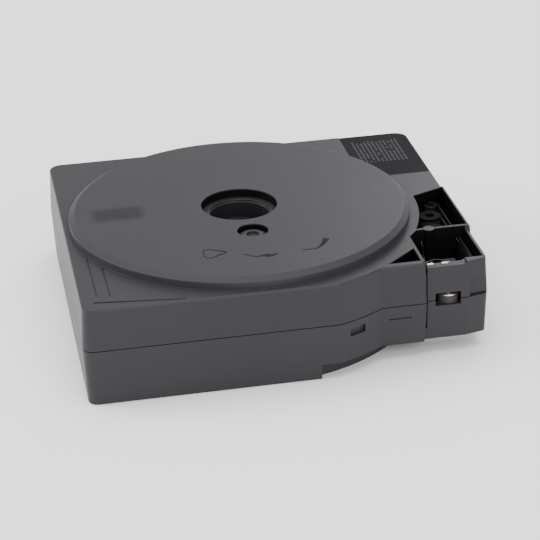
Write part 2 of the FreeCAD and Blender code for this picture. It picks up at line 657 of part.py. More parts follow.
def build_lower():
    """The lower shell: deep under the roll, lifted under the front right corner."""
    body = new_body("lower_shell")
    shell_base(body, upper=False)
    edge, past = "(parting_height - seam_gap / 2)", "(parting_height + wall)"
    cut_outline(body, "lifted", "-wall", "front_lift", LIFTED, (3,))
    cut_circle(body, "chamber", "floor", past, "chamber_radius")
    lip = new_sketch(body, "lip", f"{edge} - wall")
    draw_circle(lip, "chamber_radius + lip_wall")
    draw_circle(lip, "chamber_radius")
    pad(body, lip, "wall + seam_gap + lip_rise")
    shared_cuts(body, "floor", past, "front_floor", past)
    head = rectangle("well_left + thin_wall", "guide_x + lane_gap", "-shelf_reach",
                     "-(divider_reach + divider_wall / 2 + thin_wall)")
    cut_outline(body, "head_opening", "0", "front_floor + wall", head)
    cut_circle(body, "hub_hole", "-wall", "floor + wall", "hub_hole")
    for label, spot, radius in (("feed_hole", FEED, "feed_axle"), ("supply_hole", SUPPLY, "spool_journal"),
                                ("takeup_hole", TAKEUP, "spool_journal")):
        cut_circle(body, label, "0", "front_floor + wall", f"{radius} + run_gap", *spot)
    for label, toward in (("front_locating", -1), ("back_locating", 1)):
        spot = "-locating_x", f"{toward} * locating_y"
        pad_circle(body, f"{label}_boss", "floor / 2", "locating_depth + floor", "locating_hole + wall",
                   *spot)
        cut_circle(body, label, "-wall", "locating_depth", "locating_hole", *spot)
    window = rectangle("window_left", "window_right", "-(block_reach + wall)", "-feed_y")
    cut_outline(body, "window", "window_low", past, window)
    latch = [("latch_left", "-(reach_front + wall)"), ("latch_right", "-(reach_front + wall)"),
             ("latch_right", "-(sqrt(front_round ^ 2 - latch_right ^ 2) - latch_depth)"),
             ("latch_left", "-(sqrt(front_round ^ 2 - latch_left ^ 2) - latch_depth)")]
    latch_low = "parting_height - latch_drop"
    cut_outline(body, "latch", latch_low, f"{latch_low} + latch_tall", latch)
    groove = rectangle("groove_left", "groove_right", "-(setback_reach + wall)",
                       "-(setback_reach - groove_depth)")
    groove_low = "parting_height - groove_drop"
    cut_outline(body, "groove", groove_low, f"{groove_low} + mark_width", groove)
    finish_shell("lower_case", body)


def build_upper():
    """The upper shell: top plate, raised roll disc, hub hole, brake pin guide and open wells."""
    body = new_body("upper_shell")
    shell_base(body, upper=True)
    edge = "(parting_height + seam_gap / 2)"
    past = "(disc_top + wall)"
    pad_circle(body, "disc_foot", "top_height - plate", "disc_top - bevel_drop", "disc_radius")
    bevel = new_sketch(body, "disc_bevel", "disc_top - bevel_drop")
    draw_circle(bevel, "disc_radius")
    disc = pad(body, bevel, "bevel_drop", lean="bevel_run")
    round_edges(body, disc, "disc_edge", "bevel_round",
                lambda item: abs(item.BoundBox.ZMin - size("disc_top")) < SAME
                and item.BoundBox.XLength > size("disc_radius"))
    cut_circle(body, "chamber", edge, "plate_under", "chamber_radius")
    cut_circle(body, "disc_room", edge, "disc_under", "disc_radius - bevel_run - disc_skin")
    cut_circle(body, "lip_room", edge, f"{edge} + lip_rise", "chamber_radius + lip_wall + run_gap")
    shared_cuts(body, f"{edge} - wall", "plate_under", f"{edge} - wall", past)
    cut_outline(body, "block_rim", "block_top", past, RIM)
    front_wall = rectangle("well_left - rim_wall / 2", "facet_start", "-(reach_front + wall)", "-well_front")
    cut_outline(body, "front_rim", "front_rim", past, front_wall)
    cut_outline(body, "panel", "top_height - mark_depth", past, PANEL, (1,))
    marks = {
        f"mark_{kind}": rectangle(f"-({kind}_mark_x + mark_width / 2)", f"-({kind}_mark_x - mark_width / 2)",
                                  f"-{kind}_mark_front", f"-{kind}_mark_back") for kind in ("long", "short")}
    wedge = "(reach_front - wedge_inset)"
    marks["mark_wedge"] = [("-wedge_left", f"-{wedge}"), ("-wedge_right", f"-({wedge} + wedge_lean)"),
                           ("-wedge_right", f"-({wedge} + wedge_lean - mark_width)"),
                           ("-wedge_left", f"-({wedge} - mark_width * 2)")]
    for label, corners in marks.items():
        cut_outline(body, label, "top_height - mark_depth", past, corners)
    pad_circle(body, "divider_boss", edge, "top_height", "divider_boss",
               "divider_boss_x", "-divider_reach")
    bracket = rectangle("feed_x - bracket_reach", "feed_x + bracket_reach",
                        "-well_front - lane_gap", "-(feed_y - bracket_reach)")
    pad_outline(body, "bracket", "bracket_low", "bracket_high", bracket)
    cut_circle(body, "bracket_hole", "label_high", past, "feed_journal + run_gap", *FEED)
    pad_circle(body, "pin_guide", "web_low", "disc_under + plate / 2", "pin_hole + thin_wall", *BRAKE)
    cut_circle(body, "pin_room", "web_high", past, "pin_hole", *BRAKE)
    cut_circle(body, "pin_hole", "web_low - wall", past, "pin_radius + run_gap", *BRAKE)
    pad_circle(body, "hub_guide", "disc_under - guide_drop", "disc_under + plate / 2",
               "hub_hole + collar_reach")
    cut_circle(body, "hub_hole", "disc_under - guide_drop - wall", past, "hub_hole")
    window = rectangle("window_left", "window_right", "-(block_reach + wall)", "-feed_y")
    cut_outline(body, "window", f"{edge} - wall", "window_high", window)
    facet = [("facet_mark_left", "-(block_reach + wall)"), ("reach_right + wall", "-(block_reach + wall)"),
             ("reach_right + wall", "-(facet_reach - facet_mark_depth)"),
             ("facet_mark_left", "-(block_reach - facet_mark_depth)")]
    cut_outline(body, "facet_recess", f"{edge} - wall", f"{edge} + facet_mark_rise", facet)
    finish_shell("upper_case", body)


# ---------------------------------------------------------------- label roll and its brake
def build_roll():
    """The label roll on its core, between two loose spacer discs."""
    core = new_body("label_core")
    low, high = "label_low - film_thick - flange_thick", "flange_high"
    pad_circle(core, "sleeve", low, high, "core_radius")
    pad_circle(core, "low_flange", low, "label_low - film_thick", "flange_radius")
    pad_circle(core, "high_flange", "label_high + film_thick", high, "flange_radius")
    pad_circle(core, "collar", "floor + core_play", "disc_under - guide_drop - core_play",
               "hub_hole + collar_reach")
    pad_circle(core, "journal", "core_foot", "disc_top - core_sunk", "hub_hole - run_gap")
    cut_circle(core, "bore", "0", "disc_top", "core_bore")
    cut_circle(core, "upper_bore", "disc_top - ledge_depth", "disc_top", "core_bore + ledge_reach")
    cut_circle(core, "mouth", "disc_top - mouth_depth", "disc_top", "core_bore + ledge_reach + mouth_reach")
    ring("label_roll", "label_low", "label_high", "roll_radius", "core_radius")
    ring("spacer_disc_lower", "label_low - film_thick", "label_low", "film_radius", "core_radius + run_gap")
    ring("spacer_disc_upper", "label_high", "label_high + film_thick", "film_radius",
         "core_radius + run_gap")


def build_brake():
    """The sprung pin that is pressed down onto the core's flange."""
    pin = new_body("core_brake_pin")
    pad_circle(pin, "shank", "foot_low", "pin_top", "pin_radius", *BRAKE)
    pad_circle(pin, "collar", "collar_low", "collar_high", "pin_hole - free_gap", *BRAKE)
    pad_circle(pin, "foot", "foot_low", "foot_high", "pin_radius + foot_reach", *BRAKE)
    cut_circle(pin, "dimple", "pin_top - dimple_depth", "disc_top", "pin_dimple", *BRAKE)
    ring("core_brake_spring", "web_high", "collar_low", "pin_hole - run_gap * 2",
         "pin_radius + run_gap * 3", *BRAKE)


# ---------------------------------------------------------------- ribbon
def build_spool(name, spot, wound):
    """A ribbon spool core with its drive socket, and the ribbon wound on it."""
    core = new_body(f"{name}_core")
    top = "(ribbon_high + run_gap + spool_flange)"
    pad_circle(core, "barrel", "front_floor + spool_gap", top, "spool_core", *spot)
    pad_circle(core, "journal", "front_lift + foot_sunk", "front_floor + spool_gap", "spool_journal", *spot)
    pad_circle(core, "flange", f"{top} - spool_flange", top, f"{wound} + flange_lip", *spot)
    cut_circle(core, "socket", "front_lift", "front_lift + foot_sunk + spool_drive", "spool_socket", *spot)
    cut_circle(core, "dimple", f"{top} - thin_wall", "block_top", "spool_socket", *spot)
    ring(f"{name}_roll", "ribbon_low", "ribbon_high", wound, "spool_core", *spot)
    ring(f"{name}_washer", "front_floor", "front_floor + washer_thick", "spool_core + washer_reach",
         "spool_journal + run_gap", *spot)


# ---------------------------------------------------------------- rollers, posts and clip
def build_feed_roller():
    """The feed roller: a steel axle with a drive socket, two rubber sleeves and a bright washer between."""
    axle = new_body("feed_roller_axle")
    pad_circle(axle, "shaft", "front_lift + foot_sunk", "label_high + free_gap", "feed_axle", *FEED)
    pad_circle(axle, "journal", "label_high", "bracket_high", "feed_journal", *FEED)
    cut_circle(axle, "socket", "front_lift", "front_lift + foot_sunk + feed_drive", "feed_socket", *FEED)
    split = "(window_high - rim_washer_drop)"
    ring("feed_sleeve_lower", "label_low + sleeve_short", split, "feed_radius", "feed_axle", *FEED)
    ring("feed_washer", split, f"{split} + rim_washer_thick", "feed_radius - rim_washer_short",
         "feed_axle", *FEED)
    ring("feed_sleeve_upper", "window_high + sleeve_gap", "label_high - sleeve_short", "feed_radius",
         "feed_axle", *FEED)


def build_guides():
    """Two plastic guide rollers turning on steel pins, and the steel peel post."""
    for name, spot in (("rear_guide", REAR_GUIDE), ("front_guide", FRONT_GUIDE)):
        pin = new_body(f"{name}_pin")
        pad_circle(pin, "pin", "front_floor", "label_high + free_gap * 2", "guide_pin", *spot)
        ring(f"{name}_roller", "label_low", "label_high", "guide_radius", "guide_pin + run_gap", *spot)
        ring(f"{name}_washer", "front_floor", "label_low - run_gap", "guide_pin + washer_reach",
             "guide_pin", *spot)
    post = new_body("peel_post")
    pad_circle(post, "post", "front_floor", "label_high + free_gap", "peel_radius", *PEEL)


CLIP_STEPS = 6


def build_clip():
    """The bowed steel clip hooked over the rim of the front wall beside the feed roller."""
    low, front = "bracket_high + run_gap", "-well_front"
    clip = new_body("roller_clip")
    left, right = "(well_left + clip_inset)", "(feed_x - clip_short)"
    shares = [step / CLIP_STEPS for step in range(CLIP_STEPS + 1)]
    inner = [(f"{left} + ({right} - {left}) * {share:.4f}",
              f"{front} + clip_bow * {math.sin(math.pi * share):.4f}") for share in shares]
    outer = [(across, f"{along} + clip_thick") for across, along in inner]
    blade = new_sketch(clip, "blade", low)
    draw_outline(blade, outer + inner[::-1])
    pad(clip, blade, f"front_rim - ({low})")
    for label, across in (("left_tab", left), ("right_tab", f"{right} - clip_tab")):
        tab = rectangle(across, f"{across} + clip_tab", f"{front} - clip_tab", f"{front} + clip_thick")
        pad_outline(clip, label, "front_rim", "front_rim + clip_thick", tab)
        lug = rectangle(across, f"{across} + clip_tab", front, f"{front} + clip_thick")
        pad_outline(clip, f"{label}_lug", low, "front_rim + clip_thick", lug)


build_lower()
build_upper()
build_roll()
build_brake()
build_spool("ribbon_supply", SUPPLY, "supply_radius")
build_spool("ribbon_takeup", TAKEUP, "takeup_radius")
build_feed_roller()
build_guides()
build_clip()
strip_part("label_strip", strip_solid(*label_route(size("draft_inset")), size("label_low + strip_skin"),
                                      size("label_width - 2 * strip_skin"), size("label_thick")))
strip_part("ribbon_strip", strip_solid(*ribbon_route(), size("ribbon_low"),
                                       size("label_width - ribbon_short"), size("ribbon_thick")))
doc.recompute()

# ---------------------------------------------------------------- checks and files
for item in doc.Objects:
    if {"Invalid", "Error"} & set(item.State):
        raise RuntimeError(f"{item.Name} failed: {item.State}")
os.makedirs("parts", exist_ok=True)
for item in PARTS:
    shape = item.Shape
    if shape.isNull() or not shape.isValid() or not shape.Solids:
        raise RuntimeError(f"{item.Label} has no valid solid")
    shape.exportStep(os.path.join("parts", f"{item.Label}.step"))
    print(item.Label, len(shape.Solids), round(shape.Volume, 1))
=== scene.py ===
"""Looks of a label cassette: every solid gets its finish, and the fine pieces are built round it.

Lengths in the classes are millimetres measured from the hub, the axis of the label roll; the helper
`Hub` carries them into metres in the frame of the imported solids.
"""
import logging
import math
from dataclasses import dataclass, field
from enum import Enum
from typing import Any, Iterable, Optional

import bpy
import numpy as np
from mathutils import Matrix, Vector


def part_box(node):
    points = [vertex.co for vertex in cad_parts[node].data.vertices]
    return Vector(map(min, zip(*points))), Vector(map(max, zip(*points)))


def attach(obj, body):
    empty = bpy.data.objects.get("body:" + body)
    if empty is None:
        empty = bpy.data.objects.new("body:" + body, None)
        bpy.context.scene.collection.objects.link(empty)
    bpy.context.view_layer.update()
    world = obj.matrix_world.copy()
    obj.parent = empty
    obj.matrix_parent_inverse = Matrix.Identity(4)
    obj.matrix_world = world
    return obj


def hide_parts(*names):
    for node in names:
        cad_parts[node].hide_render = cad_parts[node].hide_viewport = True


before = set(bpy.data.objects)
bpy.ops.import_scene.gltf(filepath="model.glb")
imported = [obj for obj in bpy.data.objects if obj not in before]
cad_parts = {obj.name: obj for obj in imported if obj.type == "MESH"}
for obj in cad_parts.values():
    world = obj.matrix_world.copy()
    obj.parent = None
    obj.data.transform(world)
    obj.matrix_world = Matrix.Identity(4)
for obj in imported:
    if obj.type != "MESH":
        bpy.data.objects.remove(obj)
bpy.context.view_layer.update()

log = logging.getLogger("cassette")
MM = 0.001
SHARP_CREASE = 20.0


# ---------------------------------------------------------------- shader maths
class Value:
    """One output socket of a shader graph, with arithmetic that adds Math nodes."""

    def __init__(self, graph: "Graph", socket: Any) -> None:
        """Keep the graph and the socket."""
        self.graph, self.socket = graph, socket

    def _math(self, operation: str, *others: Any) -> "Value":
        """Add a Math node that works on this value and the others."""
        return self.graph.math(operation, self, *others)

    def __add__(self, other: Any) -> "Value":
        """Sum."""
        return self._math("ADD", other)

    __radd__ = __add__

    def __mul__(self, other: Any) -> "Value":
        """Product."""
        return self._math("MULTIPLY", other)

    __rmul__ = __mul__

    def __sub__(self, other: Any) -> "Value":
        """Difference."""
        return self._math("SUBTRACT", other)

    def __rsub__(self, other: Any) -> "Value":
        """Difference from a number."""
        return self.graph.math("SUBTRACT", other, self)

    def __truediv__(self, other: Any) -> "Value":
        """Quotient."""
        return self._math("DIVIDE", other)

    def __pow__(self, other: Any) -> "Value":
        """Power."""
        return self._math("POWER", other)

    def __gt__(self, other: Any) -> "Value":
        """One where this value is the larger."""
        return self._math("GREATER_THAN", other)

    def __lt__(self, other: Any) -> "Value":
        """One where this value is the smaller."""
        return self._math("LESS_THAN", other)

    def __abs__(self) -> "Value":
        """Size without sign."""
        return self._math("ABSOLUTE")

    def clamp(self) -> "Value":
        """The value held between nought and one."""
        made = self._math("ADD", 0.0)
        made.socket.node.use_clamp = True
        return made

    def smooth(self, low: float, high: float) -> "Value":
        """A smooth step from nought at low to one at high."""
        return self.graph.node("ShaderNodeMapRange", {"interpolation_type": "SMOOTHSTEP"},
                               {"Value": self, "From Min": low, "From Max": high})["Result"]


class Graph:
    """A material's node tree with one method for any node."""

    def __init__(self, name: str) -> None:
        """Start an empty material of that name with its output node."""
        self.material = bpy.data.materials.new(name)
        self.material.use_nodes = True
        self.tree = self.material.node_tree
        self.tree.nodes.clear()
        self.output = self.tree.nodes.new("ShaderNodeOutputMaterial")

    def node(self, kind: str, settings: Optional[dict[str, Any]] = None,
             inputs: Optional[dict[Any, Any]] = None) -> "Outputs":
        """Add a node.

        Args:
            kind: the node's type.
            settings: its properties.
            inputs: numbers, colours or Values for its inputs, by name or number.

        Returns:
            The node's outputs by name.
        """
        made = self.tree.nodes.new(kind)
        for key, setting in (settings or {}).items():
            setattr(made, key, setting)
        for key, given in (inputs or {}).items():
            target = made.inputs[key]
            if isinstance(given, Value):
                self.tree.links.new(given.socket, target)
            else:
                target.default_value = given
        return Outputs(self, made)

    def math(self, operation: str, *terms: Any) -> Value:
        """Add a Math node on values and numbers."""
        return self.node("ShaderNodeMath", {"operation": operation}, dict(enumerate(terms)))["Value"]

    def point(self) -> Value:
        """The place on the object, in metres."""
        return self.node("ShaderNodeTexCoord")["Object"]

    def axes(self, point: Value) -> tuple[Value, Value, Value]:
        """The three parts of a vector."""
        parts = self.node("ShaderNodeSeparateXYZ", inputs={0: point})
        return parts["X"], parts["Y"], parts["Z"]

    def stretched(self, point: Value, scale: tuple[float, float, float]) -> Value:
        """A point scaled along each axis."""
        return self.node("ShaderNodeVectorMath", {"operation": "MULTIPLY"},
                         {0: point, 1: scale})["Vector"]

    def noise(self, point: Value, size_mm: float, detail: float = 2.0, rough: float = 0.5) -> Value:
        """Noise whose blots measure about size_mm, from nought to one."""
        return self.node("ShaderNodeTexNoise", {"noise_dimensions": "3D"},
                         {"Vector": point, "Scale": 1.0 / (size_mm * MM), "Detail": detail,
                          "Roughness": rough})["Fac"]

    def cells(self, point: Value, size_mm: float) -> Value:
        """Distance to the nearest of scattered points about size_mm apart."""
        return self.node("ShaderNodeTexVoronoi", {"feature": "F1"},
                         {"Vector": point, "Scale": 1.0 / (size_mm * MM)})["Distance"]

    def blend(self, factor: Any, first: Any, second: Any) -> Value:
        """A colour between two colours."""
        made = self.node("ShaderNodeMix", {"data_type": "RGBA"}, {0: factor})
        for index, given in ((6, first), (7, second)):
            target = made.owner.inputs[index]
            if isinstance(given, Value):
                self.tree.links.new(given.socket, target)
            else:
                target.default_value = (*given, 1.0)
        return Value(self, made.owner.outputs[2])

    def edge(self, radius_mm: float) -> tuple[Value, Value]:
        """A rounded normal and a mask of the edges that it rounds."""
        rounded = self.node("ShaderNodeBevel", {"samples": 6}, {"Radius": radius_mm * MM})["Normal"]
        flat = self.node("ShaderNodeNewGeometry")["Normal"]
        agree = self.node("ShaderNodeVectorMath", {"operation": "DOT_PRODUCT"},
                          {0: rounded, 1: flat})["Value"]
        return rounded, (1.0 - agree).smooth(0.004, 0.16)

    def bump(self, height: Value, distance_mm: float, strength: float = 1.0,
             under: Optional[Value] = None) -> Value:
        """A normal from a height that is worth distance_mm from nought to one."""
        inputs: dict[Any, Any] = {"Height": height, "Strength": strength, "Distance": distance_mm * MM}
        if under is not None:
            inputs["Normal"] = under
        return self.node("ShaderNodeBump", inputs=inputs)["Normal"]

    def shader(self, inputs: dict[str, Any], gloss: float) -> Value:
        """A Principled shader with a constant specular level."""
        return self.node("ShaderNodeBsdfPrincipled", inputs={**inputs, "Specular IOR Level": gloss})["BSDF"]

    def mixed(self, factor: Value, first: Value, second: Value) -> Value:
        """Two shaders mixed by a factor."""
        return self.node("ShaderNodeMixShader", inputs={0: factor, 1: first, 2: second})["Shader"]

    def close(self, shader: Value) -> bpy.types.Material:
        """Join a shader to the output and hand over the material."""
        self.tree.links.new(shader.socket, self.output.inputs["Surface"])
        return self.material

    def surface(self, **inputs: Any) -> bpy.types.Material:
        """Close the graph with a Principled shader; keys use underscores for spaces."""
        named = {key.replace("_", " "): given for key, given in inputs.items()}
        return self.close(self.node("ShaderNodeBsdfPrincipled", inputs=named)["BSDF"])


class Outputs:
    """A node's outputs by name."""

    def __init__(self, graph: Graph, owner: Any) -> None:
        """Keep the graph and the node."""
        self.graph, self.owner = graph, owner

    def __getitem__(self, name: str) -> Value:
        """The output of that name."""
        return Value(self.graph, self.owner.outputs[name])


# ---------------------------------------------------------------- finishes
class Finish:
    """Something that can be made into a material once and then shared."""

    _made: dict[Any, bpy.types.Material] = {}

    def build(self) -> bpy.types.Material:
        """Make the material; each finish has its own way."""
        raise NotImplementedError

    def material(self) -> bpy.types.Material:
        """The shared material of this finish."""
        if self not in self._made:
            self._made[self] = self.build()
        return self._made[self]

    def dress(self, *pieces: bpy.types.Object) -> None:
        """Give the pieces this finish and nothing else."""
        for piece in pieces:
            piece.data.materials.clear()
            piece.data.materials.append(self.material())


class Openings:
    """Where the case is open, and so where it gets painted shade: spans across and along the case and
    heights, millimetres from the hub.
    """

    WELL = ((35.15, 48.45), (-32.45, -18.2))
    BAY = ((35.0, 49.15), (-17.6, 3.9))
    CORNER = ((26.8, 34.35), (-33.8, -26.0))
    WINDOW = ((37.2, 43.05), (-34.6, -30.0))
    WINDOW_HEIGHTS = (11.65, 14.8)
    WELL_TOP = 22.5
    ROOM_TOP = 22.45
    HOLE_TOP = 24.95
    BAY_ARC = 41.1
    HUB_HOLE = 8.85
    PIN_PLACE = (0.52, -14.85)
    PIN_HOLE = 3.62


@dataclass(frozen=True)
class MouldedPlastic(Finish):
    """Satin moulded plastic with a fine spark-eroded skin and edges a little lighter, partly as rub wear
    and partly as a painted highlight.
    """

    name: str
    colour: tuple[float, float, float]
    roughness: float = 0.46
    grain_mm: float = 0.32
    grain_depth_mm: float = 0.010
    edge_mm: float = 0.22
    edge_wear_and_highlight: float = 0.30
    gloss: float = 0.30
    dull_gloss: float = 0.03
    patch_place: tuple[float, float] = (-27.9, 1.15)
    patch_across: tuple[float, float] = (0.0043, 0.0071)
    patch_along: tuple[float, float] = (0.0020, 0.0046)
    case: bool = False

    def build(self) -> bpy.types.Material:
        """Colour drifts over centimetres, the skin is noise over cells, and edges are lighter, as wear and
        as a painted highlight.

        On the case a soft patch of the disc is darker, and the openings get painted shade: darker and
        duller inside, where shade falls.
        """
        graph = Graph(self.name)
        point = graph.point()
        drift = graph.noise(point, 26.0, 3.0)
        blots = graph.noise(point, 3.5, 4.0, 0.6)
        grain = graph.noise(point, self.grain_mm, 3.0, 0.65)
        pits = graph.cells(point, self.grain_mm * 1.7)
        rounded, edges = graph.edge(self.edge_mm)
        tone = 0.86 + 0.16 * drift + 0.07 * blots + 0.10 * grain
        # painted shade: inside its openings the case is darkened and dulled to stand for the shade that
        # falls there
        painted_shade: Any = 0.0
        if self.case:
            painted_shade = self._painted_shade_mask(graph, point)
            darker_patch = self._darker_patch(graph, point)
            tone = tone * (1.0 - 0.24 * darker_patch) * (1.0 - 0.86 * painted_shade)
        # lighter edge colour: rub wear and a painted highlight along the edges
        light = tuple(min(1.0, part * 1.9 + 0.015) for part in self.colour)
        edge_wear_and_highlight = (edges * (0.35 + 0.65 * blots) * self.edge_wear_and_highlight * (1.0 - 0.85 * painted_shade)).clamp()
        base = graph.blend(edge_wear_and_highlight, self._shaded(graph, tone), light)
        shine = self.roughness - 0.09 + 0.12 * blots + 0.08 * grain - 0.05 * edge_wear_and_highlight
        skin = graph.bump(0.65 * grain + 0.35 * pits, self.grain_depth_mm, 0.55, rounded)
        satin = {"Base Color": base, "Roughness": shine.clamp(), "Normal": skin}
        glossy = graph.shader(satin, self.gloss)
        if not self.case:
            return graph.close(glossy)
        # the darker patch and the painted shade of the openings take the dull shader
        dull = (0.55 * darker_patch + 0.75 * painted_shade).clamp()
        return graph.close(graph.mixed(dull, glossy, graph.shader(satin, self.dull_gloss)))

    def _shaded(self, graph: Graph, tone: Value) -> Value:
        """The colour darkened or lightened by a tone."""
        grey = graph.node("ShaderNodeCombineXYZ", inputs={0: tone, 1: tone, 2: tone})["Vector"]
        return graph.node("ShaderNodeVectorMath", {"operation": "MULTIPLY"},
                          {0: grey, 1: self.colour})["Vector"]

    def _darker_patch(self, graph: Graph, point: Value) -> Value:
        """A soft four-sided patch on the roll disc, left of the hub, made a little darker."""
        across, along, _ = graph.axes(point)
        place = Hub.point(*self.patch_place, 0.0)
        side = 1.0 - abs(across - float(place.x)).smooth(*self.patch_across)
        front = 1.0 - abs(along - float(place.y)).smooth(*self.patch_along)
        return side * front

    def _painted_shade_mask(self, graph: Graph, point: Value) -> Value:
        """Painted shade mask: one inside the bay, the well, the corner triangle, the window and both round
        holes, where the case is darkened to stand for the shade in them.
        """
        across, along, high = graph.axes(point)
        across, along, high = (across - Hub.x) / MM, (along - Hub.y) / MM, high / MM

        def within(axis: Value, low: float, top: float) -> Value:
            return (axis > low) * (axis < top)

        def about(x: float, y: float) -> Value:
            return ((across - x) ** 2.0 + (along - y) ** 2.0) ** 0.5

        def room(spans: tuple[tuple[float, float], tuple[float, float]]) -> Value:
            return within(across, *spans[0]) * within(along, *spans[1])

        well = room(Openings.WELL) * (high < Openings.WELL_TOP)
        bay = (about(0.0, 0.0) > Openings.BAY_ARC) * room(Openings.BAY) * (high < Openings.ROOM_TOP)
        corner = room(Openings.CORNER) * (high < Openings.ROOM_TOP)
        window = room(Openings.WINDOW) * within(high, *Openings.WINDOW_HEIGHTS)
        pin = about(*Openings.PIN_PLACE) < Openings.PIN_HOLE
        holes = ((about(0.0, 0.0) < Openings.HUB_HOLE) + pin).clamp() * (high < Openings.HOLE_TOP)
        return (well + bay + corner + window + holes).clamp()


@dataclass(frozen=True)
class Rubber(Finish):
    """Ground rubber: dull, with fine grinding rings round the roller and dust in them."""

    name: str
    colour: tuple[float, float, float]
    dust: tuple[float, float, float]
    roughness: float = 0.72

    def build(self) -> bpy.types.Material:
        """Rings along the axis come from noise stretched flat; dust lies where they are high."""
        graph = Graph(self.name)
        point = graph.point()
        rings = graph.noise(graph.stretched(point, (0.05, 0.05, 1.0)), 0.16, 2.0)
        pores = graph.noise(point, 0.22, 3.0, 0.7)
        base = graph.blend((0.65 * rings + 0.5 * pores - 0.35).clamp(), self.colour, self.dust)
        skin = graph.bump(0.6 * rings + 0.4 * pores, 0.02, 0.6)
        return graph.surface(Base_Color=base, Roughness=(self.roughness + 0.16 * pores).clamp(),
                             Normal=skin)


@dataclass(frozen=True)
class Steel(Finish):
    """Steel with drawing or grinding lines along one axis and faint stains."""

    name: str
    colour: tuple[float, float, float]
    roughness: float = 0.24
    grain: tuple[float, float, float] = (1.0, 1.0, 0.04)

    def build(self) -> bpy.types.Material:
        """Lines come from noise drawn out along the grain; stains change colour and gloss."""
        graph = Graph(self.name)
        point = graph.point()
        lines = graph.noise(graph.stretched(point, self.grain), 0.09, 3.0, 0.6)
        stains = graph.noise(point, 1.6, 3.0, 0.6)
        dark = tuple(part * 0.62 for part in self.colour)
        base = graph.blend((0.45 * lines + 0.55 * stains).clamp(), dark, self.colour)
        shine = self.roughness - 0.08 + 0.16 * lines + 0.10 * stains
        return graph.surface(Base_Color=base, Metallic=1.0, Roughness=shine.clamp(),
                             Normal=graph.bump(lines, 0.004, 0.5))


@dataclass(frozen=True)
class WoundSheet(Finish):
    """The side and skin of a sheet wound about an axis: rings on the side, streaks on the skin."""

    name: str
    colour: tuple[float, float, float]
    liner: tuple[float, float, float]
    axis: tuple[float, float]
    ring_mm: float
    roughness: float = 0.34
    slack_m: float = 0.00012

    def build(self) -> bpy.types.Material:
        """Rings follow the distance from the axis, uneven as hand-tight turns are."""
        graph = Graph(self.name)
        point = graph.point()
        across, along, _ = graph.axes(point)
        out = ((across - self.axis[0]) ** 2.0 + (along - self.axis[1]) ** 2.0) ** 0.5
        slack = graph.noise(point, 9.0, 2.0)
        turns = graph.math("SINE", (out + self.slack_m * slack) * (2.0 * math.pi / (self.ring_mm * MM)))
        streaks = graph.noise(graph.stretched(point, (1.0, 1.0, 0.08)), 0.8, 3.0)
        base = graph.blend((0.5 + 0.5 * turns).clamp(), self.colour, self.liner)
        shine = self.roughness + 0.18 * streaks
        return graph.surface(Base_Color=base, Roughness=shine.clamp(),
                             Normal=graph.bump(0.5 + 0.5 * turns, 0.02, 0.5))


@dataclass(frozen=True)
class StripSheet(Finish):
    """A tight glossy strip with faint scratches along its way and a slight drift of tone."""

    name: str
    colour: tuple[float, float, float]
    roughness: float = 0.22
    gloss: float = 0.10

    def build(self) -> bpy.types.Material:
        """Scratches are noise drawn out level, so they run along the strip."""
        graph = Graph(self.name)
        point = graph.point()
        scratches = graph.noise(graph.stretched(point, (0.06, 0.06, 1.0)), 0.2, 3.0, 0.6)
        drift = graph.noise(point, 6.0, 2.0)
        light = tuple(part * 1.7 + 0.01 for part in self.colour)
        base = graph.blend((0.5 * drift + 0.5 * scratches).clamp(), self.colour, light)
        sheet = {"Base Color": base, "Roughness": (self.roughness + 0.2 * scratches).clamp(),
                 "Normal": graph.bump(scratches, 0.006, 0.4)}
        return graph.close(graph.shader(sheet, self.gloss))


@dataclass(frozen=True)
class ClearFilm(Finish):
    """Thin milky film: pale, a little see-through, with rub rings about the hub."""

    name: str
    colour: tuple[float, float, float]
    ring_mm: float = 1.1

    def build(self) -> bpy.types.Material:
        """Rub rings follow the distance from the hub and change gloss and haze."""
        graph = Graph(self.name)
        point = graph.point()
        across, along, _ = graph.axes(point)
        place = Hub.point(0.0, 0.0, 0.0)
        out = ((across - float(place.x)) ** 2.0 + (along - float(place.y)) ** 2.0) ** 0.5
        rings = graph.math("SINE", out * (2.0 * math.pi / (self.ring_mm * MM)))
        haze = graph.noise(point, 5.0, 3.0)
        dark = tuple(part * 0.8 for part in self.colour)
        base = graph.blend((0.3 + 0.2 * rings + 0.4 * haze).clamp(), dark, self.colour)
        return graph.surface(Base_Color=base, Roughness=(0.22 + 0.2 * haze + 0.05 * rings).clamp(),
                             Alpha=(0.62 + 0.25 * haze).clamp())


@dataclass(frozen=True)
class PaleFloor(Finish):
    """Plain white studio floor with a barely visible unevenness."""

    name: str = "pale_floor"

    def build(self) -> bpy.types.Material:
        """White with a faint drift of tone."""
        graph = Graph(self.name)
        drift = graph.noise(graph.point(), 180.0, 2.0)
        base = graph.blend(drift, (0.90, 0.90, 0.90), (0.93, 0.93, 0.93))
        return graph.surface(Base_Color=base, Roughness=0.9)


# ---------------------------------------------------------------- places and meshes
class Hub:
    """Turns millimetres from the hub into metres in the frame."""

    _low, _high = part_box("label_core")
    x = float(_low.x + _high.x) / 2
    y = float(_low.y + _high.y) / 2

    @classmethod
    def point(cls, across: float, along: float, height: float) -> Vector:
        """A point given right of the hub, behind it and above the base."""
        return Vector((cls.x + across * MM, cls.y + along * MM, height * MM))

    @classmethod
    def points(cls, table: np.ndarray) -> np.ndarray:
        """Many such points, last axis x, y, z."""
        return table * MM + np.array([cls.x, cls.y, 0.0])


